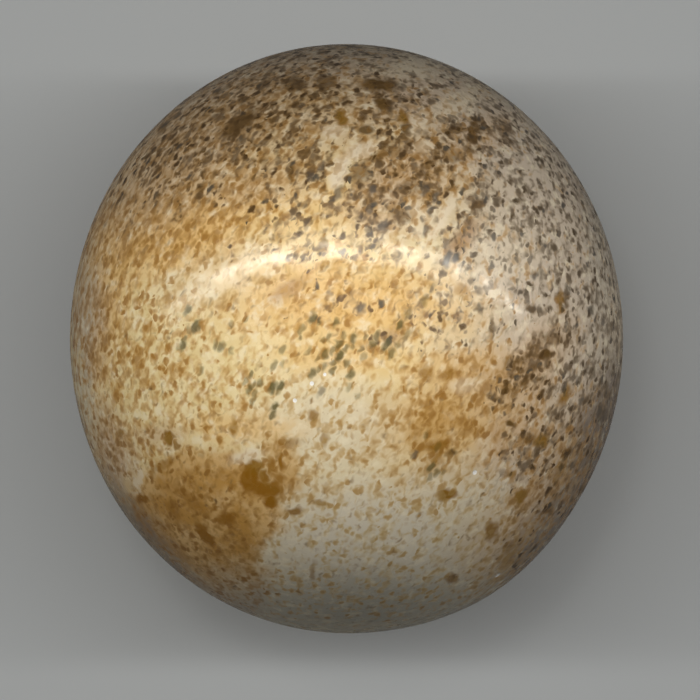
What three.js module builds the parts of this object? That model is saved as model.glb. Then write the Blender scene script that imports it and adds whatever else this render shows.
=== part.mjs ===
// Jasper ball: one piece of speckled jasper, ground by hand to a ball and polished all over.
// It's a little longer than it's wide, as hand-ground balls often are, and a small flat spot
// is ground on its underside so that it stays where it's put.
// Millimetres, +Z up. The origin is the centre of the flat spot.

import * as THREE from "three";
import { mergeVertices } from "three/addons/utils/BufferGeometryUtils.js";

// Driving dimensions.
const WIDTH = 50.0; // across the ball, along X
const LENGTH = 53.25; // its longest way, along Y
const DEPTH = (WIDTH + LENGTH) / 2; // along Z, before the flat spot is ground
const FLAT_DIAMETER = 9.0; // the flat spot, measured along X

// A broad, low high spot that the grinding left on the ball's side.
const HIGH_SPOT_RISE = 0.35;
const HIGH_SPOT_BEARING = -58; // degrees from +X towards +Y
const HIGH_SPOT_SPREAD = 14; // degrees from its top to where it has fallen to six tenths

// Fineness of the faceted surface.
const ROWS = 44; // from the rim of the flat spot to the top
const COLUMNS = 72; // round the ball

// Half the angle that the flat spot takes out of a round ball of the same width.
const flatAngle = Math.asin(FLAT_DIAMETER / WIDTH);
const roundRadius = WIDTH / 2;
const centreHeight = (DEPTH / 2) * Math.cos(flatAngle);

// The round ball that the stone's own shape is stretched from: a flat disc, then an arc
// from the disc's rim up to the top, turned about the vertical axis through its centre.
function roundBall() {
  const rimAngle = flatAngle - Math.PI / 2;
  const arc = new THREE.ArcCurve(0, 0, roundRadius, rimAngle, Math.PI / 2, false);
  const profile = [new THREE.Vector2(0, -roundRadius * Math.cos(flatAngle)), ...arc.getPoints(ROWS)];
  profile[profile.length - 1].x = 0;
  return new THREE.LatheGeometry(profile, COLUMNS).rotateX(Math.PI / 2);
}

// How far the high spot lifts the surface at a unit direction from the ball's centre.
function highSpot(direction) {
  const bearing = THREE.MathUtils.degToRad(HIGH_SPOT_BEARING);
  const top = new THREE.Vector3(Math.cos(bearing), Math.sin(bearing), 0);
  const away = THREE.MathUtils.radToDeg(direction.angleTo(top));
  return HIGH_SPOT_RISE * Math.exp(-0.5 * (away / HIGH_SPOT_SPREAD) ** 2);
}

// The stone: the round ball stretched to its three sizes, with its high spot raised.
function stoneGeometry() {
  const geometry = roundBall();
  const position = geometry.getAttribute("position");
  const stretch = new THREE.Vector3(1, LENGTH / WIDTH, DEPTH / WIDTH);
  const point = new THREE.Vector3();
  for (let i = 0; i < position.count; i++) {
    point.fromBufferAttribute(position, i);
    const rise = highSpot(point.clone().normalize());
    point.multiply(stretch).multiplyScalar(1 + rise / roundRadius);
    point.z += centreHeight;
    position.setXYZ(i, point.x, point.y, point.z);
  }
  geometry.deleteAttribute("normal");
  geometry.deleteAttribute("uv");
  const merged = mergeVertices(geometry, 1e-4);
  merged.computeVertexNormals();
  return merged;
}

const jasper = new THREE.MeshStandardMaterial({
  color: 0xcdb08a, // cream and tan, averaged over the speckles
  roughness: 0.2,
  metalness: 0,
});

const ball = new THREE.Mesh(stoneGeometry(), jasper);
ball.name = "jasper_ball";

const stone = new THREE.Group();
stone.add(ball);

export default stone;
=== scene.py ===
import math
import random

import bmesh
import bpy
from mathutils import Matrix, Vector, kdtree, noise


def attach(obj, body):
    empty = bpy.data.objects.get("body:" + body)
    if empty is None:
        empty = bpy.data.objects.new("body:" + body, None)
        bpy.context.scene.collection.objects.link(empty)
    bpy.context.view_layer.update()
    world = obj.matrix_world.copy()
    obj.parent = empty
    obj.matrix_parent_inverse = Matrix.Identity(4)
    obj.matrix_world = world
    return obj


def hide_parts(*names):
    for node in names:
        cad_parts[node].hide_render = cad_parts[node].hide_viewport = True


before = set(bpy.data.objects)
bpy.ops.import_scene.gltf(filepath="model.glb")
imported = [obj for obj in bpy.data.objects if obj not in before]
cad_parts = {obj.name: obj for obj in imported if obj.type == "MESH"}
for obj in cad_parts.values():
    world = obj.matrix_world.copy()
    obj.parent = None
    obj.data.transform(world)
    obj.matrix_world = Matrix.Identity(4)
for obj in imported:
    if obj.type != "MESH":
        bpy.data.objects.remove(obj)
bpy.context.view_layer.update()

# The jasper ball. One piece of speckled jasper, ground by hand to a ball, so that it's a little
# longer than it's wide, with a broad low high spot on its side. It's polished all over, and a
# small flat spot is ground on its underside for it to rest on.
ball_width, ball_length = 0.0500, 0.05325
ball_depth = (ball_width + ball_length) / 2
flat_spot_width = 0.0090
half_sizes = Vector((ball_width, ball_length, ball_depth)) / 2
centre_height = half_sizes.z * math.cos(math.asin(flat_spot_width / ball_width))
ball_centre = Vector((0, 0, centre_height))
millimetre = 0.001

high_spot_rise = 0.35 * millimetre
high_spot_bearing = math.radians(-58)
high_spot_spread = math.radians(14)
high_spot_top = Vector((math.cos(high_spot_bearing), math.sin(high_spot_bearing), 0))

# The slight waviness that hand grinding leaves, and how many waves there are to the radius.
wave_height, wave_rate = 0.018 * millimetre, 4.1
ripple_height, ripple_rate = 0.003 * millimetre, 13
ripple_start = Vector((7, 3, 1))
flat_rim_softness = 0.05 * millimetre  # how much of the flat spot's rim the polish rounded

# The picture's scale and middle. The picture was taken from nearly straight above.
pixel = 25.0 / 276.5  # in millimetres, at the ball's outline
middle_column, middle_row = 346.5, 338.5  # where the ball's centre is in the picture
camera_distance = 0.6
outline_distance = math.sqrt(camera_distance ** 2 - half_sizes.x ** 2)


def seen_at(column, row):
    """The point of the ball, in millimetres from its centre, that the picture shows at a pixel."""
    x, y = (column - middle_column) * pixel, (middle_row - row) * pixel
    z = 0
    for closer in range(5):  # a higher point is nearer the camera, and so lies a little further in
        nearer = (camera_distance - z * millimetre) / outline_distance
        reach = math.hypot(x * nearer * millimetre / half_sizes.x, y * nearer * millimetre / half_sizes.y)
        z = math.sqrt(max(0, 1 - reach ** 2)) * half_sizes.z / millimetre
    return Vector((x * nearer, y * nearer, z))


def stone_surface(direction):
    """Where the ground and polished surface lies in a direction from the ball's centre."""
    away = direction.angle(high_spot_top)
    rise = high_spot_rise * math.exp(-0.5 * (away / high_spot_spread) ** 2)
    rise += wave_height * noise.noise(direction * wave_rate)
    rise += ripple_height * noise.noise(direction * ripple_rate + ripple_start)
    point = Vector(a * b for a, b in zip(direction, half_sizes))
    return point * (1 + rise / half_sizes.x) + ball_centre


def settle_on_flat(point):
    """Points below the flat spot's plane are ground off, and its rim is left slightly soft."""
    if point.z < -flat_rim_softness:
        point.z = 0
    elif point.z < flat_rim_softness:
        point.z = (point.z + flat_rim_softness) ** 2 / (4 * flat_rim_softness)
    return point


# Pits where a grain was plucked out in the grinding: column and row in the picture, and radius
# and depth in millimetres. The polish left a white quartz grain in each, and its colour is painted near
# white: a painted glint, for the light that the pit catches.
pits = [
    (312, 384, 0.26, 0.05), (295, 401, 0.26, 0.05), (325, 375, 0.20, 0.03), (475, 473, 0.30, 0.06),
    (497, 574, 0.38, 0.07),
]
hidden_pits = 17
pit_reach = 1.6  # how far out a pit's slope is felt, in its radii
pit_list = []
for column, row, radius, depth in pits:
    direction = Vector(a / b for a, b in zip(seen_at(column, row), half_sizes)).normalized()
    pit_list.append((direction, radius * millimetre, depth * millimetre))
chance = random.Random(11)
while len(pit_list) < len(pits) + hidden_pits:
    direction = Vector((chance.gauss(0, 1), chance.gauss(0, 1), chance.gauss(0, 1))).normalized()
    if direction.z < 0.1 and direction.z > -0.95:
        pit_list.append((direction, chance.uniform(0.15, 0.3) * millimetre,
                         chance.uniform(0.03, 0.07) * millimetre))

ball_form = bmesh.new()
bmesh.ops.create_icosphere(ball_form, subdivisions=7, radius=1)
for finer in range(3):  # the surface is cut finer round each pit, each time less far out
    tree_of_points = kdtree.KDTree(len(ball_form.verts))
    ball_form.verts.ensure_lookup_table()
    for vert in ball_form.verts:
        tree_of_points.insert(vert.co, vert.index)
    tree_of_points.balance()
    near = set()
    for direction, radius, depth in pit_list:
        reach = (pit_reach - 0.15 * finer) * radius / half_sizes.x + 0.012 / 2 ** finer
        found = tree_of_points.find_range(direction, reach)
        near.update(ball_form.verts[index] for place, index, gap in found)
    edges = [e for e in ball_form.edges if e.verts[0] in near and e.verts[1] in near]
    bmesh.ops.subdivide_edges(ball_form, edges=edges, cuts=1, use_grid_fill=True)
    for vert in ball_form.verts:
        vert.co.normalize()
    bmesh.ops.triangulate(ball_form, faces=ball_form.faces[:])
    ball_form.verts.index_update()

# Each pit's middle is marked for its white grain, the painted glint.
painted_glint_layer = ball_form.verts.layers.float.new("painted_glint_grain")
for vert in ball_form.verts:
    direction = vert.co.copy()
    point = stone_surface(direction)
    sink = 0
    for pit_direction, radius, depth in pit_list:
        away = (direction - pit_direction).length * half_sizes.x / radius
        if away < pit_reach:
            sink += depth * math.exp(-2.2 * away ** 2)
            vert[painted_glint_layer] = max(vert[painted_glint_layer], 1 - max(0, away - 0.55) / 0.4)
    vert.co = settle_on_flat(point - direction * sink)
for face in ball_form.faces:
    face.smooth = True

ball_mesh = bpy.data.meshes.new("polished_jasper_ball")
ball_form.to_mesh(ball_mesh)
ball_form.free()
ball = bpy.data.objects.new("polished_jasper_ball", ball_mesh)
bpy.context.scene.collection.objects.link(ball)
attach(ball, "root")
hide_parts("jasper_ball")


# The stone's colours. Cream to pinkish jasper, stained tan and ochre in clouds, and speckled
# all through with brown, ochre and grey-green specks half a millimetre across. They run right
# through the stone, so every pattern is a solid one, and the polished surface only cuts it.
def colour(red, green, blue):
    """A colour given as seen on a screen, 0 to 255, as the shader wants it."""
    shares = [c / 255 for c in (red, green, blue)]
    return (*[s / 12.92 if s <= 0.04045 else ((s + 0.055) / 1.055) ** 2.4 for s in shares], 1)


def put(tree, kind, inputs=(), **settings):
    """Adds a node, with its settings, and its inputs set or joined to other nodes' outputs."""
    made = tree.nodes.new(kind)
    for name, value in settings.items():
        setattr(made, name, value)
    for key, value in dict(inputs).items():
        if isinstance(value, bpy.types.NodeSocket):
            tree.links.new(value, made.inputs[key])
        else:
            made.inputs[key].default_value = value
    return made


def maths(tree, operation, *values, clamp=False):
    made = put(tree, "ShaderNodeMath", enumerate(values), operation=operation, use_clamp=clamp)
    return made.outputs[0]


def vectors(tree, operation, *values):
    made = put(tree, "ShaderNodeVectorMath", enumerate(values), operation=operation)
    return made.outputs["Value" if operation in ("DOT_PRODUCT", "DISTANCE") else "Vector"]


def scaled(tree, point, amount):
    inputs = {0: point, "Scale": amount}
    return put(tree, "ShaderNodeVectorMath", inputs, operation="SCALE").outputs[0]


def between(tree, value, low, high, start=0.0, end=1.0):
    """Goes smoothly from start to end as a value goes from low to high."""
    inputs = {"Value": value, "From Min": low, "From Max": high, "To Min": start, "To Max": end}
    return put(tree, "ShaderNodeMapRange", inputs, interpolation_type="SMOOTHSTEP").outputs[0]


def mottle(tree, point, per_mm, detail=2.0):
    """A solid noise, from 0 to 1, with so many waves to the millimetre."""
    inputs = {"Vector": point, "Scale": per_mm, "Detail": detail}
    return put(tree, "ShaderNodeTexNoise", inputs).outputs["Fac"]


def wandered(tree, point, per_mm, detail, amount):
    """The point moved about by a soft noise, so that what's looked up there has ragged edges."""
    inputs = {"Vector": point, "Scale": per_mm, "Detail": detail}
    noise_colour = put(tree, "ShaderNodeTexNoise", inputs).outputs["Color"]
    drift = scaled(tree, vectors(tree, "SUBTRACT", noise_colour, (0.5, 0.5, 0.5)), amount)
    return vectors(tree, "ADD", point, drift)


def group_with(name, inputs, outputs):
    """An empty node group with these sockets, and the outputs of its input node."""
    made = bpy.data.node_groups.new(name, "ShaderNodeTree")
    for label, kind in inputs.items():
        made.interface.new_socket(label, in_out="INPUT", socket_type="NodeSocket" + kind)
    for label, kind in outputs.items():
        made.interface.new_socket(label, in_out="OUTPUT", socket_type="NodeSocket" + kind)
    return made, put(made, "NodeGroupInput").outputs


jasper = bpy.data.materials.new("speckled_jasper")
jasper.use_nodes = True
stone = jasper.node_tree
stone.nodes.clear()


def times(value, amount):
    return maths(stone, "MULTIPLY", value, amount)


def laid_over(share, under, over):
    """One colour laid over another by a share of 0 to 1."""
    return put(stone, "ShaderNodeMix", {0: share, 6: under, 7: over}, data_type="RGBA").outputs[2]


# Every pattern is measured in millimetres from the ball's centre.
place = put(stone, "ShaderNodeTexCoord").outputs["Object"]
in_mm = scaled(stone, vectors(stone, "SUBTRACT", place, tuple(ball_centre)), 1 / millimetre)
ragged = wandered(stone, in_mm, 0.7, 2.0, 2.4)
wide_ragged = wandered(stone, ragged, 0.16, 2.0, 2.5)
crumbled = wandered(stone, in_mm, 1.3, 1.0, 0.75)
height = put(stone, "ShaderNodeSeparateXYZ", {"Vector": ragged}).outputs["Z"]
unseen = between(stone, height, 1.0, -4.0)  # the half of the ball that the picture doesn't show

# A cloud of stain: a column of stone, oval as seen from above, with a soft or a crisp edge.
cloud_group, given = group_with(
    "stain_cloud", {"Point": "Vector", "Centre": "Vector", "Along": "Vector", "Across": "Vector",
                    "Crispness": "Float", "Strength": "Float"}, {"Share": "Float"})
offset = vectors(cloud_group, "SUBTRACT", given["Point"], given["Centre"])
along = vectors(cloud_group, "DOT_PRODUCT", offset, given["Along"])
across = vectors(cloud_group, "DOT_PRODUCT", offset, given["Across"])
squared = maths(cloud_group, "MULTIPLY", along, along)
squared = maths(cloud_group, "MULTIPLY_ADD", across, across, squared)
outer = maths(cloud_group, "SUBTRACT", 2.0, given["Crispness"])
fade = between(cloud_group, maths(cloud_group, "SQRT", squared), given["Crispness"], outer, 1.0, 0.0)
put(cloud_group, "NodeGroupOutput", {"Share": maths(cloud_group, "MULTIPLY", fade, given["Strength"])})


def cloud(column, row, half_long, half_short, turn=0, strength=1.0, crispness=0.35):
    """A stain placed by the picture: its middle, half its length and width in pixels, and how
    far it's turned anticlockwise, in degrees. Where it fades to half is its outline. The
    smaller it is, the finer its raggedness."""
    x, y = seen_at(column, row).xy
    angle = math.radians(turn)
    point = wide_ragged if half_short > 30 else ragged if half_short > 9 else crumbled
    inputs = {"Point": point, "Centre": (x, y, 0),
              "Along": Vector((math.cos(angle), math.sin(angle), 0)) / (half_long * pixel),
              "Across": Vector((-math.sin(angle), math.cos(angle), 0)) / (half_short * pixel),
              "Crispness": crispness, "Strength": strength}
    return put(stone, "ShaderNodeGroup", inputs, node_tree=cloud_group).outputs["Share"]


def most_of(*shares):
    """Where clouds overlap, the strongest counts."""
    result = shares[0]
    for share in shares[1:]:
        result = maths(stone, "MAXIMUM", result, share)
    return result


def stained(clouds, shift, low, high, strength=1.0, per_mm=0.055, least=0.0):
    """Clouds on the side that the picture shows, and on the other side patches like them: where
    a soft noise goes from low to high they go from least to strength."""
    patches = mottle(stone, vectors(stone, "ADD", ragged, (shift, -shift, 2 * shift)), per_mm, 1.0)
    hidden = between(stone, patches, low, high, least, strength)
    return put(stone, "ShaderNodeMix", {0: unseen, 2: most_of(*clouds), 3: hidden}).outputs[0]


# The ground colour, from the palest stone to the most stained. It starts as mottled cream, and
# is pinker at the right and the top.
cream_mottle = between(stone, mottle(stone, in_mm, 0.45, 3.0), 0.35, 0.65)
cream = laid_over(cream_mottle, colour(244, 222, 168), colour(234, 208, 148))
pinkish = stained([
    cloud(560, 260, 110, 230), cloud(500, 140, 90, 60, -35), cloud(590, 400, 60, 90),
    cloud(430, 85, 70, 40), cloud(330, 62, 150, 26, 0, 0.9), cloud(560, 530, 90, 70, 40, 0.9),
    cloud(530, 455, 60, 60, 0, 0.9), cloud(225, 84, 60, 12, 32, 0.8),
], shift=11, low=0.46, high=0.58)
ground = laid_over(pinkish, cream, colour(212, 194, 170))
# Clean chalky stone, across the bottom. The small cloud at the left end of the lamp's highlight is partly
# a painted highlight.
pale = stained([
    cloud(370, 550, 130, 75), cloud(335, 430, 70, 50, 0, 0.6), cloud(440, 500, 60, 40, 0, 0.8),
    cloud(222, 276, 56, 24, 20, 0.5),
], shift=23, low=0.52, high=0.62)
ground = laid_over(pale, ground, colour(227, 215, 190))
# Honey-yellow stone, at the left and above the middle.
honey = stained([
    cloud(160, 228, 110, 44, 14), cloud(100, 285, 30, 90, -4, 0.8), cloud(130, 265, 50, 24, 20, 0.6),
    cloud(290, 215, 90, 30, 0, 0.6), cloud(245, 428, 50, 14, 0, 0.7), cloud(455, 366, 50, 14, 12, 0.5),
], shift=37, low=0.54, high=0.64)
ground = laid_over(times(honey, 0.85), ground, colour(240, 194, 124))
# Peach-coloured stone, in the middle.
peach = stained([
    cloud(345, 300, 115, 40, -4), cloud(350, 348, 66, 26, 4, 0.7),
], shift=41, low=0.58, high=0.66)
ground = laid_over(peach, ground, colour(235, 193, 124))
# Tan stain, along the top and down the right.
tan = stained([
    cloud(200, 134, 150, 56, 32, 0.9), cloud(320, 105, 130, 55, 0, 0.7),
    cloud(405, 178, 60, 40, 30, 0.9), cloud(470, 140, 42, 20, 30, 0.7), cloud(385, 215, 35, 26, 0, 0.7),
    cloud(526, 372, 56, 26, 50, 0.95), cloud(515, 425, 40, 22, 40, 0.8),
    cloud(565, 470, 75, 36, 62, 0.7), cloud(515, 550, 70, 45, 42, 0.6),
    cloud(532, 512, 56, 24, 52, 1.0), cloud(92, 325, 18, 60, 0, 0.7), cloud(255, 180, 80, 24, 10, 0.6),
    cloud(302, 160, 26, 34, 0, 0.6), cloud(112, 456, 20, 50, 14, 0.9), cloud(160, 436, 26, 12, 0, 0.6),
], shift=51, low=0.52, high=0.6)
ground = laid_over(tan, ground, colour(212, 182, 145))
# Patches of ochre, mottled inside: the largest is at the lower left.
ochre = stained([
    cloud(205, 510, 73, 58, 0, 1.0, 0.85), cloud(215, 590, 52, 60, 0, 0.95, 0.8),
    cloud(282, 470, 18, 30, 10, 0.8, 0.6), cloud(446, 418, 56, 42, 25, 0.85, 0.0),
    cloud(174, 540, 44, 20, -50, 0.8), cloud(412, 405, 16, 10, 20, 0.6, 0.5),
], shift=67, low=0.56, high=0.6, per_mm=0.07)
ochre_mottle = between(stone, mottle(stone, in_mm, 0.3), 0.4, 0.62)
ochre_ground = laid_over(ochre_mottle, colour(220, 178, 114), colour(196, 146, 70))
ground = laid_over(ochre, ground, ochre_ground)
# Dull brown-grey darkening low down towards the rim: partly brown stain, partly painted shade where the
# light falls off at the rim.
rim_stain_and_shade = stained([
    cloud(148, 542, 80, 20, -52, 0.7), cloud(598, 455, 85, 28, 76, 1.15),
    cloud(560, 530, 90, 32, 52, 1.0), cloud(590, 210, 14, 50, 12, 0.3),
], shift=83, low=0.58, high=0.68, strength=0.6)
ground = laid_over(rim_stain_and_shade, ground, colour(116, 98, 86))
# Greyer along the bottom and down both edges, round the rim: partly greyer stone, partly a painted grey
# sheen, the reflection that the polish shows at the rim.
grey_rim_sheen_and_stone = most_of(
    cloud(370, 606, 170, 32, 0, 1.0, 0.2), cloud(572, 496, 110, 34, 58, 0.25, 0.2),
    cloud(215, 590, 70, 10, -28, 0.4, 0.2), cloud(82, 345, 12, 110, 0, 0.6, 0.2),
    cloud(602, 250, 14, 110, 0, 0.4, 0.2),
)
ground = laid_over(grey_rim_sheen_and_stone, ground, colour(198, 191, 172))
# Pale flecks all over, fewer in the ochre.
fewer_flecks = maths(stone, "MULTIPLY_ADD", ochre, -0.4, 0.5)
flecks = times(between(stone, mottle(stone, in_mm, 0.95), 0.5, 0.72), fewer_flecks)
ground = laid_over(flecks, ground, colour(250, 235, 200))

# Pale veins, mostly free of specks.
pale_vein = most_of(
    cloud(340, 171, 17, 7.5, 70, 1.0, 0.6), cloud(361, 151, 17, 7, 22, 1.0, 0.6),
    cloud(333, 132, 9, 6, 0, 0.8, 0.5), cloud(424, 146, 9, 6, 0, 0.8, 0.5),
    cloud(420, 124, 13, 8, 60, 0.7, 0.4), cloud(455, 105, 22, 12, 20, 0.7, 0.4),
    cloud(413, 210, 8, 7, 75, 0.5, 0.4), cloud(442, 220, 26, 4.5, 58, 0.85, 0.5),
    cloud(247, 457, 16, 6, 10, 0.8, 0.5), cloud(138, 478, 3.5, 15, -8, 0.6, 0.5),
    cloud(466, 386, 13, 7, 0, 0.6, 0.4), cloud(522, 328, 8, 5, 60, 0.6, 0.4),
    cloud(508, 256, 28, 24, 30, 0.4, 0.2), cloud(414, 68, 24, 12, 0, 0.7, 0.3),
    cloud(425, 224, 14, 12, 30, 0.5, 0.2),
)
ground = laid_over(times(pale_vein, 0.85), ground, colour(244, 226, 194))

# Blotches, where stain has pooled: golden, olive and smudged brown.
golden = most_of(
    cloud(250, 478, 15, 9, 80, 1.0, 0.7), cloud(257, 467, 7, 6, 0, 0.9, 0.6),
    cloud(266, 489, 16, 8, -12, 0.95, 0.6), cloud(271, 502, 6, 7, -20, 1.0, 0.6),
    cloud(281, 462, 3, 8, 0, 0.9, 0.5), cloud(280, 479, 5, 6, 0, 0.7, 0.5),
    cloud(206, 536, 13, 5, -52, 1.0, 0.7), cloud(142, 499, 6, 4.5, 20, 1.0, 0.5),
    cloud(169, 438, 5, 7, 0, 1.0, 0.6), cloud(163, 466, 14, 4, 30, 0.4),
    cloud(190, 500, 20, 5, -40, 0.4), cloud(173, 511, 10, 4, -48, 0.5),
    cloud(177, 446, 3, 4, 0, 0.7, 0.5), cloud(120, 434, 4, 5, 0, 0.7, 0.5),
    cloud(295, 511, 7, 4, 10, 0.8, 0.5), cloud(321, 503, 6, 3.5, 0, 0.6, 0.5),
    cloud(288, 444, 11, 5, 10, 0.5), cloud(313, 572, 3, 9, -10, 0.45), cloud(325, 439, 3, 8, 0, 0.5),
    cloud(233, 427, 3, 9, 0, 0.5), cloud(342, 119, 5, 9, 20, 0.95, 0.5),
    cloud(447, 495, 9, 6, 5, 0.95, 0.6), cloud(312, 416, 4, 6, 0, 0.7, 0.5),
    cloud(426, 374, 8, 6, -30, 0.6), cloud(447, 375, 9, 4, 35, 0.65),
    cloud(436, 447, 11, 4.5, 10, 0.85), cloud(437, 458, 7, 5, 60, 0.6),
    cloud(541, 441, 8, 6, 30, 1.0, 0.5), cloud(521, 497, 7.5, 5, 70, 1.0, 0.6),
    cloud(561, 300, 4.5, 10, 0, 0.8, 0.5), cloud(565, 396, 10, 4.5, 62, 0.9),
    cloud(403, 118, 6, 5, 0, 0.9, 0.5), cloud(512, 475, 4, 4, 0, 0.7, 0.5),
    cloud(250, 487, 8, 5, 40, 0.5), cloud(227, 519, 9, 6, 5, 0.95, 0.5),
    cloud(264, 477, 5, 7, 20, 0.9, 0.5), cloud(271, 467, 3, 9, 0, 0.75), cloud(275, 485, 5, 5, 0, 0.85),
    cloud(491, 531, 6, 9, -10, 0.8, 0.5), cloud(452, 579, 6, 5, 0, 0.7, 0.5),
    cloud(510, 552, 16, 6, 60, 0.4), cloud(560, 470, 14, 5, 60, 0.5),
)
ground = laid_over(golden, ground, colour(156, 104, 28))
olive = most_of(
    cloud(379, 85, 17, 7, 0, 0.95, 0.6), cloud(239, 124, 20, 8, 38, 0.9, 0.6),
    cloud(294, 84, 12, 8, 0, 0.65, 0.6), cloud(326, 82, 9, 7, 0, 0.65, 0.6),
    cloud(406, 129, 5, 6, 0, 0.8, 0.5), cloud(545, 355, 7, 4.5, 20, 1.0, 0.6),
    cloud(566, 299, 2.5, 8, 0, 0.7), cloud(383, 104, 9, 6, -50, 0.95, 0.5),
    cloud(473, 134, 7, 12, -20, 0.95, 0.6), cloud(454, 131, 12, 4, 5, 0.7, 0.6),
    cloud(508, 134, 5, 14, 30, 0.5, 0.6), cloud(509, 362, 6, 4, 60, 0.5),
    cloud(524, 360, 9, 4, 20, 0.5), cloud(531, 369, 8, 3, 30, 0.5), cloud(506, 388, 9, 3, 75, 0.6),
    cloud(515, 391, 8, 3, 80, 0.5), cloud(525, 382, 3.5, 6, -20, 0.8), cloud(543, 394, 3, 5, -15, 0.9),
    cloud(567, 453, 6, 3, 40, 1.0), cloud(528, 439, 6, 4, 30, 0.8),
    cloud(510, 424, 4.5, 3.5, 0, 0.9, 0.5), cloud(491, 327, 3, 10, 0, 0.75),
    cloud(551, 338, 14, 5, -10, 0.5), cloud(531, 309, 5, 3.5, -10, 0.75),
    cloud(478, 206, 9, 4, 42, 0.95, 0.5), cloud(469, 222, 5, 3.5, 50, 0.6, 0.4),
    cloud(291, 174, 3, 8, -8, 0.8), cloud(280, 221, 8, 3, 55, 0.6), cloud(324, 244, 3, 10, 0, 0.5),
    cloud(402, 216, 9, 7, 0, 0.6), cloud(411, 188, 10, 7, 0, 0.35),
    cloud(382, 156, 17, 4, 20, 0.6, 0.3), cloud(361, 174, 9, 8, 0, 0.6, 0.3),
    cloud(366, 130, 7, 5, 0, 0.8, 0.5), cloud(428, 165, 9, 4, 30, 0.6), cloud(453, 157, 9, 6, 0, 0.5),
    cloud(470, 150, 7, 4, -20, 0.65), cloud(452, 454, 5, 4, 20, 0.9),
)
ground = laid_over(olive, ground, colour(118, 87, 36))
smudged = most_of(
    cloud(462, 240, 24, 9, 52, 0.85, 0.2), cloud(288, 290, 20, 8, 30, 0.6, 0.4),
    cloud(395, 335, 14, 8, 30, 0.5), cloud(462, 290, 8, 6, 0, 0.5),
)
ground = laid_over(smudged, ground, colour(176, 134, 92))

# Specks: one to a cell of the stone's grain at most. A speck shows where its own luck, from 0 to
# 1, is less than how common specks are there, and the commoner they are, the larger it is.
speck_group, given = group_with(
    "grain_specks", {"Point": "Vector", "Per mm": "Float", "Common": "Float", "Crumble": "Float"},
    {"Depth": "Float", "Tone": "Float"})
cells = put(speck_group, "ShaderNodeTexVoronoi", {"Vector": given["Point"], "Scale": given["Per mm"]})
luck = put(speck_group, "ShaderNodeSeparateColor", {0: cells.outputs["Color"]}).outputs
lead = maths(speck_group, "SUBTRACT", given["Common"], luck["Red"])
reach = between(speck_group, lead, -0.05, 0.35, 0.02, 0.66)
distance = maths(speck_group, "MULTIPLY", cells.outputs["Distance"], given["Crumble"])
depth = between(speck_group, distance, 0.0, reach, 1.0, 0.0)
put(speck_group, "NodeGroupOutput", {"Depth": depth, "Tone": luck["Green"]})

# The specks are drawn out along the stone's grain, which runs up to the right in the picture.
grain_turn = math.radians(64)
grain_stretch = 1.7
inputs = {"Vector": crumbled, "Rotation": (0, 0, grain_turn), "Scale": (grain_stretch, 1.0, 1.5)}
grain = put(stone, "ShaderNodeMapping", inputs, vector_type="TEXTURE").outputs[0]

# Single grains placed by the picture: columns of stone, all drawn out along the grain.
grain_from_above = vectors(stone, "MULTIPLY", grain, (1, 1, 0))


def grains(placed):
    """Grains at a column and row of the picture, with half their width, in pixels, and strength."""
    shares = []
    for column, row, half_width, strength in placed:
        x, y = seen_at(column, row).xy
        along = (x * math.cos(grain_turn) + y * math.sin(grain_turn)) / grain_stretch
        across = y * math.cos(grain_turn) - x * math.sin(grain_turn)
        away = vectors(stone, "DISTANCE", grain_from_above, (along, across, 0))
        half_width *= pixel
        shares.append(between(stone, away, 0.5 * half_width, 1.5 * half_width, strength, 0.0))
    return most_of(*shares)


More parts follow.
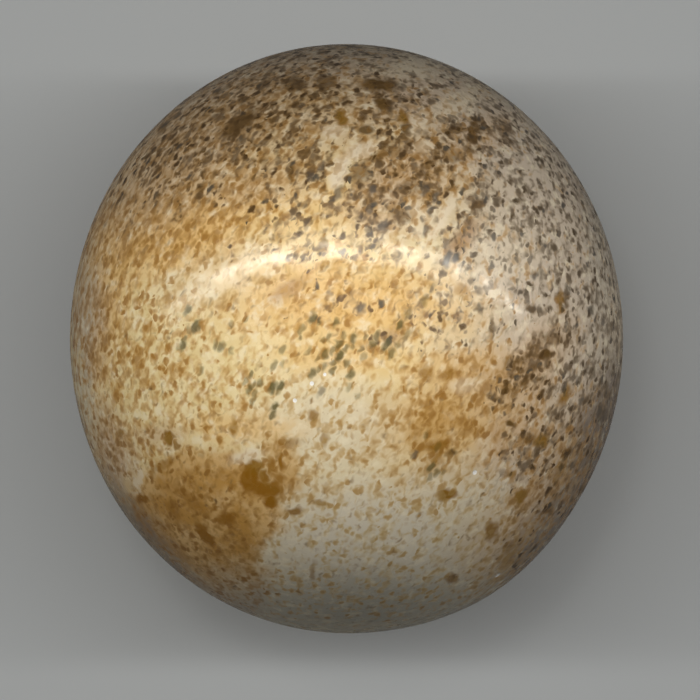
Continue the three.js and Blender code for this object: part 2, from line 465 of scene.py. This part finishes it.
# Slate-grey grains, in the upper half, and moss-green ones, gathered below the middle.
slate_grains = grains([
    (338, 193, 4.1, 0.85), (373, 190, 3.5, 0.9), (370, 209, 3.6, 0.9), (383, 226, 3.8, 0.85),
    (370, 231, 3.0, 0.8), (426, 190, 4.1, 0.85), (435, 198, 3.2, 0.8), (432, 211, 3.1, 0.9),
    (426, 231, 3.4, 0.8), (447, 260, 4.2, 1.15), (456, 259, 3.3, 1.15), (535, 275, 2.9, 0.9),
    (591, 310, 2.9, 0.8), (567, 291, 3.2, 0.6), (480, 308, 2.9, 0.8), (433, 289, 2.9, 0.8),
    (602, 416, 5.0, 0.5), (310, 177, 3.1, 0.8), (322, 168, 3.6, 0.8), (415, 455, 2.9, 0.8),
    (361, 308, 3.6, 0.95), (321, 393, 3.0, 0.7),
])
moss_grains = grains([
    (313, 318, 3.4, 0.9), (319, 323, 2.2, 0.6), (335, 323, 2.6, 0.85), (301, 331, 3.0, 0.65),
    (300, 338, 2.2, 0.7), (330, 337, 2.6, 0.75), (324, 341, 2.4, 0.6), (338, 345, 3.4, 0.8),
    (343, 336, 2.4, 0.6), (354, 339, 3.2, 0.8), (346, 350, 2.6, 0.75), (352, 346, 2.2, 0.6),
    (361, 350, 2.2, 0.5), (366, 338, 2.4, 0.55), (333, 351, 2.4, 0.7), (377, 337, 3.0, 0.75),
    (373, 344, 2.4, 0.8), (386, 346, 4.0, 0.9), (392, 355, 3.2, 0.8), (398, 346, 2.6, 0.6),
    (340, 357, 3.6, 1.0), (326, 354, 3.0, 0.8), (333, 363, 2.6, 0.75), (319, 359, 2.2, 0.6),
    (347, 365, 2.8, 0.75), (325, 367, 3.0, 0.65), (333, 371, 2.2, 0.8), (351, 375, 2.8, 0.9),
    (313, 373, 3.0, 0.9), (318, 370, 2.2, 0.7), (349, 387, 2.8, 0.5), (308, 352, 2.9, 0.6),
    (364, 357, 2.6, 0.55), (283, 350, 2.6, 0.7), (273, 366, 2.9, 0.7), (282, 364, 2.2, 0.5),
    (251, 375, 2.3, 0.8), (246, 381, 2.4, 0.55), (260, 383, 2.8, 0.7), (250, 389, 3.2, 0.85),
    (253, 401, 2.9, 0.6), (273, 388, 3.2, 1.0), (280, 387, 3.4, 1.0), (274, 408, 3.2, 1.0),
    (273, 416, 2.8, 0.9), (408, 313, 3.6, 0.6), (424, 301, 3.6, 0.6), (400, 326, 2.6, 0.9),
    (407, 334, 3.6, 0.55), (357, 397, 2.4, 0.5), (254, 385, 2.2, 0.7), (255, 395, 2.4, 0.6),
    (188, 311, 3.3, 0.95), (196, 327, 3.5, 0.95), (189, 331, 2.4, 0.5), (184, 341, 2.6, 0.75),
    (182, 346, 3.0, 0.9), (216, 345, 2.8, 0.7), (221, 347, 3.0, 0.8), (231, 351, 2.4, 0.6),
    (231, 325, 2.2, 0.5), (246, 320, 2.2, 0.5), (201, 371, 2.2, 0.6), (431, 467, 2.9, 0.85),
    (430, 477, 2.6, 0.6), (437, 474, 2.6, 0.65), (443, 473, 2.3, 0.5), (438, 447, 2.6, 0.7),
    (426, 436, 2.4, 0.5),
])

# What makes the specks' outlines ragged.
crumble = between(stone, mottle(stone, in_mm, 1.7, 1.0), 0.3, 0.7, 0.7, 1.35)


def specks(shift, per_mm, common):
    """How deep inside a speck each point is, from 0 to 1, and a number of the speck's own."""
    point = vectors(stone, "ADD", grain, (shift, shift, shift))
    inputs = {"Point": point, "Per mm": per_mm, "Common": common, "Crumble": crumble}
    found = put(stone, "ShaderNodeGroup", inputs, node_tree=speck_group).outputs
    return found["Depth"], found["Tone"]


def smears(shift, per_mm, common):
    """Stain that has crept along the grain between the specks: its broad halo, and its heart."""
    point = vectors(stone, "ADD", grain, (shift, shift, shift))
    level = maths(stone, "MULTIPLY_ADD", common, 0.25, mottle(stone, point, per_mm, 1.0))
    return between(stone, level, 0.58, 0.78), between(stone, level, 0.70, 0.92)


# How common ochre and dark specks are from place to place. They gather in loose groups.
gather = between(stone, mottle(stone, in_mm, 0.55, 2.5), 0.3, 0.7, 0.55, 1.38)
ochre_common = stained([
    cloud(130, 330, 90, 130, 0, 0.75), cloud(96, 320, 24, 60, 0, 0.95),
    cloud(120, 440, 50, 40, 0, 0.85), cloud(210, 400, 120, 50, 0, 0.65),
    cloud(165, 226, 130, 56, 14, 0.95), cloud(320, 300, 150, 70, 0, 0.5),
    cloud(380, 470, 140, 100, 0, 0.62), cloud(370, 580, 130, 50, 0, 0.45),
    cloud(450, 408, 66, 58, 0, 0.85), cloud(345, 350, 56, 28, 0, 0.55),
    cloud(212, 525, 80, 90, 15, 0.7), cloud(540, 480, 70, 90, 0, 0.7), cloud(505, 560, 60, 36, 50, 0.7),
    cloud(400, 595, 90, 30, 0, 0.45), cloud(230, 150, 160, 90, 25, 0.75),
    cloud(400, 160, 90, 80, 0, 0.7), cloud(480, 270, 70, 60, 0, 0.4), cloud(465, 352, 45, 14, 10, 0.5),
    cloud(140, 366, 40, 26, 0, 1.0),
], shift=97, low=0.35, high=0.6, strength=0.8, least=0.5)
# Where dark specks gather there's less ochre.
ochre_common = times(ochre_common, between(stone, gather, 0.6, 1.3, 1.15, 0.8))
dark_common = stained([
    cloud(242, 124, 142, 54, 26, 0.92), cloud(350, 80, 170, 60, 0, 0.72),
    cloud(405, 175, 75, 50, 30, 0.93), cloud(385, 218, 40, 22, 0, 0.85),
    cloud(310, 205, 80, 40, 0, 0.55), cloud(190, 184, 50, 14, 20, 0.35),
    cloud(350, 254, 110, 14, 0, 0.6), cloud(308, 164, 24, 30, 0, 0.85),
    cloud(380, 340, 24, 16, 0, 0.55), cloud(560, 340, 18, 60, -8, 0.9), cloud(345, 300, 34, 14, 0, 0.6),
    cloud(468, 206, 12, 26, -20, 0.8), cloud(452, 256, 16, 12, 0, 0.8), cloud(463, 228, 38, 9, 56, 1.0),
    cloud(560, 210, 105, 130, 0, 0.74), cloud(600, 340, 50, 110, 0, 0.75),
    cloud(528, 366, 50, 24, 50, 0.98), cloud(480, 130, 60, 40, 0, 0.9),
    cloud(500, 178, 40, 24, 20, 0.85), cloud(500, 250, 80, 60, 0, 0.58),
    cloud(440, 315, 60, 34, 0, 0.55), cloud(340, 300, 70, 40, 0, 0.3), cloud(570, 475, 60, 50, 60, 0.6),
    cloud(545, 440, 60, 30, 45, 0.72), cloud(504, 400, 16, 22, 0, 0.8),
    cloud(586, 440, 14, 40, 14, 0.8), cloud(540, 540, 70, 34, 45, 0.38),
], shift=113, low=0.4, high=0.58, strength=0.9, least=0.25)
dark_common = maths(stone, "SUBTRACT", times(dark_common, gather), times(pale_vein, 0.6))

# The specks' colours, each with a paler rim, its tint, round a darker core.
browner = most_of(times(tan, 0.8), times(pinkish, 0.6))
ochre_tint = laid_over(browner, colour(206, 158, 84), colour(186, 148, 98))
ochre_tint = laid_over(pale, ochre_tint, colour(214, 188, 134))
ochre_tint = laid_over(ochre, ochre_tint, colour(182, 136, 66))
ochre_core = laid_over(browner, colour(160, 112, 48), colour(136, 100, 54))
ochre_core = laid_over(pale, ochre_core, colour(186, 148, 88))
ochre_core = laid_over(ochre, ochre_core, colour(148, 100, 34))
greyer = maths(stone, "SUBTRACT", pinkish, tan, clamp=True)
dark_tint = laid_over(greyer, colour(152, 117, 69), colour(160, 140, 114))
dark_core = laid_over(greyer, colour(80, 56, 24), colour(84, 68, 46))
slate = laid_over(greyer, colour(84, 76, 62), colour(84, 78, 70))
dark_core = laid_over(times(peach, 0.7), dark_core, colour(120, 92, 60))

# The ochre smears and specks are laid down first, and then the dark ones.
halo, heart = smears(43, 1.6, ochre_common)
stone_colour = laid_over(times(halo, 0.6), ground, ochre_tint)
stone_colour = laid_over(times(heart, 0.6), stone_colour, ochre_core)
depth, tone = specks(57, 2.4, ochre_common)
stone_colour = laid_over(times(depth, 0.5), stone_colour, ochre_core)
depth, tone = specks(31, 1.45, ochre_common)
stone_colour = laid_over(times(between(stone, depth, 0.0, 0.5), 0.65), stone_colour, ochre_tint)
stone_colour = laid_over(times(between(stone, depth, 0.15, 0.85), 0.75), stone_colour, ochre_core)
halo, heart = smears(71, 1.7, dark_common)
stone_colour = laid_over(times(halo, 0.45), stone_colour, dark_tint)
stone_colour = laid_over(times(heart, 0.65), stone_colour, dark_core)
for shift, per_mm, fewer in ((19, 2.2, 0.7), (7, 1.4, 1.0), (3, 0.95, 0.7)):
    missing = 0.4 if per_mm < 1 else 0.0  # the largest are rarer in the peach-coloured stone
    common = maths(stone, "MULTIPLY_ADD", peach, -missing, times(dark_common, fewer))
    depth, tone = specks(shift, per_mm, common)
    core = laid_over(between(stone, tone, 0.72, 0.88), dark_core, slate)
    stone_colour = laid_over(times(between(stone, depth, 0.0, 0.5), 0.5), stone_colour, dark_tint)
    stone_colour = laid_over(times(between(stone, depth, 0.15, 0.85), 0.92 * fewer), stone_colour, core)
# The veins, grains and blotches again, over the specks that cross them.
stone_colour = laid_over(times(pale_vein, 0.45), stone_colour, colour(232, 212, 178))
stone_colour = laid_over(times(slate_grains, 0.85), stone_colour, colour(84, 76, 66))
stone_colour = laid_over(times(moss_grains, 0.9), stone_colour, colour(98, 89, 50))
golden_heart = laid_over(ochre, colour(134, 99, 16), colour(148, 98, 6))
stone_colour = laid_over(times(golden, 0.6), stone_colour, golden_heart)
stone_colour = laid_over(times(olive, 0.62), stone_colour, colour(84, 55, 4))
# The quartz grains in the pits, painted near white: a painted glint where each pit catches the light.
quartz = put(stone, "ShaderNodeAttribute", attribute_name="painted_glint_grain").outputs["Fac"]
stone_colour = laid_over(between(stone, quartz, 0.3, 0.9), stone_colour, colour(250, 246, 236))

# The polish. It's brightest on the clean ground, and the specks, softer than the stone round
# them, took it less well.
dulled = between(stone, dark_common, 0.2, 0.9, 0.0, 0.12)
gloss = between(stone, mottle(stone, in_mm, 0.55), 0.33, 0.67, 0.11, 0.31)
gloss = maths(stone, "ADD", gloss, dulled)
# The flat spot was ground last and is only satin.
above_flat = put(stone, "ShaderNodeSeparateXYZ", {"Vector": place}).outputs["Z"]
satin = between(stone, above_flat, 0.02 * millimetre, 0.12 * millimetre, 0.5, 0.0)
gloss = maths(stone, "MAXIMUM", gloss, satin)
quartz_ior = 1.54  # jasper is mostly fine-grained quartz
inputs = {"Base Color": stone_colour, "Roughness": gloss, "IOR": quartz_ior}
polish = put(stone, "ShaderNodeBsdfPrincipled", inputs)
put(stone, "ShaderNodeOutputMaterial", {"Surface": polish.outputs[0]})
ball_mesh.materials.append(jasper)


# What the ball rests on: a plain pale sheet of paper, not part of the object.
# It's wide enough to fill the view, and lies just low enough not to touch the flat spot.
paper_half_width, paper_gap = 1.5, 0.05 * millimetre
paper_form = bmesh.new()
paper_top = Matrix.Translation((0, 0, -paper_gap))
bmesh.ops.create_grid(paper_form, x_segments=1, y_segments=1, size=paper_half_width, matrix=paper_top)
paper_mesh = bpy.data.meshes.new("pale_paper")
paper_form.to_mesh(paper_mesh)
paper_form.free()
paper = bpy.data.objects.new("pale_paper", paper_mesh)
bpy.context.scene.collection.objects.link(paper)
paper_finish = bpy.data.materials.new("matt_pale_paper")
paper_finish.use_nodes = True
matt = paper_finish.node_tree.nodes["Principled BSDF"]
matt.inputs["Base Color"].default_value = (0.604, 0.62, 0.612, 1)
matt.inputs["Roughness"].default_value = 0.9
paper_mesh.materials.append(paper_finish)
paper.visible_glossy = False

# The camera looks straight down on the ball, as the scanner's did, from far enough away for the
# view to be nearly parallel. The ball's centre falls where it does in the picture.
picture_width = 700
camera_data = bpy.data.cameras.new("camera_overhead")
camera_data.sensor_width = 36
picture_reach = pixel * millimetre * picture_width
camera_data.lens = camera_data.sensor_width * outline_distance / picture_reach
camera_data.clip_start = 0.01
camera = bpy.data.objects.new("camera_overhead", camera_data)
bpy.context.scene.collection.objects.link(camera)
off_centre = Vector((picture_width / 2 - middle_column, middle_row - picture_width / 2, 0))
camera.location = ball_centre + off_centre * pixel * millimetre + Vector((0, 0, camera_distance))
bpy.context.scene.camera = camera

# The studio's light. The room is dim. A soft lamp close above lights the ball, and a thin strip
# lamp, tilted towards the picture's top, is there only for the polish to mirror: it makes the
# narrow curved highlight of the scanner's own lamp. Two lamps more fall on the paper alone.
bpy.context.scene.view_settings.view_transform = "Standard"
studio = bpy.data.worlds.new("dim_studio")
bpy.context.scene.world = studio
studio.use_nodes = True
room = studio.node_tree.nodes["Background"]
room.inputs["Color"].default_value = (1, 1, 1, 1)
room.inputs["Strength"].default_value = 0.07


def lamp(name, tilt, distance, length, width, power, aside=0.0):
    """A lamp above the ball, its length along X. It faces the ball's centre, tilted from overhead
    towards the picture's top, and is then slid aside along X."""
    data = bpy.data.lights.new(name, "AREA")
    data.shape = "RECTANGLE"
    data.size, data.size_y, data.energy = length, width, power
    made = bpy.data.objects.new(name, data)
    bpy.context.scene.collection.objects.link(made)
    angle = math.radians(tilt)
    made.location = ball_centre + Vector((0, math.sin(angle), math.cos(angle))) * distance
    made.rotation_euler = (ball_centre - made.location).to_track_quat("-Z", "Y").to_euler()
    made.location.x += aside
    made.visible_camera = False
    return made


def lights_only(light, *things):
    """Light linking: the lamp falls on these things alone, as a flagged studio lamp does."""
    group = bpy.data.collections.new(light.name + "_falls_on")
    for thing in things:
        group.objects.link(thing)
    light.light_linking.receiver_collection = group


softbox = lamp("softbox", tilt=8, distance=0.07, length=0.25, width=0.04, power=0.08)
softbox.visible_glossy = False
lights_only(softbox, ball)
strip = lamp("strip_lamp", tilt=28, distance=0.075, length=0.60, width=0.0065, power=0.18, aside=-0.01)
strip.data.color = (1.0, 0.96, 0.85)
strip.visible_diffuse = False
lights_only(strip, ball)
backdrop = lamp("backdrop_lamp", tilt=6.5, distance=0.6, length=2.0, width=0.045, power=3.5, aside=-0.2)
lights_only(backdrop, paper)
shade = lamp("shade_lamp", tilt=9, distance=0.6, length=0.07, width=0.07, power=0.16, aside=-0.05)
lights_only(shade, paper)
